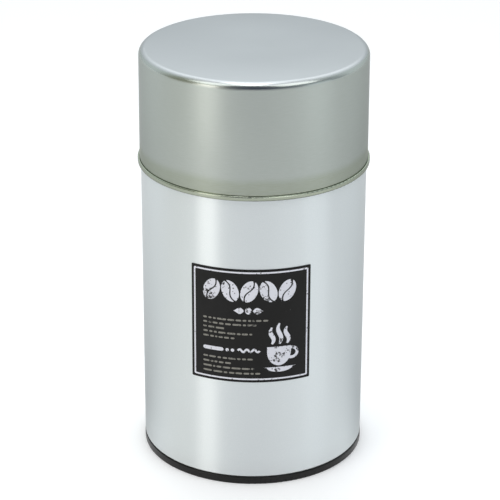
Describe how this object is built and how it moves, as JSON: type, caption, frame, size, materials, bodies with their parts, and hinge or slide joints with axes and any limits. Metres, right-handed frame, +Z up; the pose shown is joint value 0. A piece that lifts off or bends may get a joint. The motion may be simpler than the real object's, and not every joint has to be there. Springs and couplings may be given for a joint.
{
  "type": "coffee tin",
  "caption": "Cylindrical tinplate storage tin with a deep slip-on outer lid, a recessed inner lid with a knob, and a square label on the front.",
  "frame": {"origin": "centre of the base, on the plane the tin stands on", "axes": "+Z up along the tin's axis; the label faces -Y and the side seam is at +Y"},
  "size_m": [0.0822, 0.0822, 0.1518],
  "materials": {
    "body_metal": "silver enamel on tinplate, semi-gloss",
    "black_lacquer": "black lacquer on tinplate, satin",
    "compound": "cured sealing compound, matt",
    "lid_metal": "satin stone-finish tinplate",
    "bright_tinplate": "bright tinplate",
    "turned_aluminium": "fine turned",
    "rivet_metal": "satin",
    "label_black": "printed black film with worn white artwork"
  },
  "bodies": {
    "can": {"body_shell": "body_metal", "bottom_end": "black_lacquer", "seam_compound": "compound", "label": "label_black"},
    "outer_lid": {"outer_lid": "lid_metal"},
    "inner_lid": {"inner_lid": "bright_tinplate", "lid_knob": "turned_aluminium", "knob_washer": "rivet_metal", "knob_rivet": "rivet_metal"}
  },
  "joints": [
    {"name": "outer_lid_lift", "type": "slide", "parent": "can", "child": "outer_lid", "axis": [0, 0, 1], "range_m": [0, 0.11]},
    {"name": "inner_lid_lift", "type": "slide", "parent": "can", "child": "inner_lid", "axis": [0, 0, 1], "range_m": [0, 0.044]}
  ],
  "couplings": [
    {"joint": "inner_lid_lift", "follows": "outer_lid_lift", "ratio": 0.4}
  ]
}
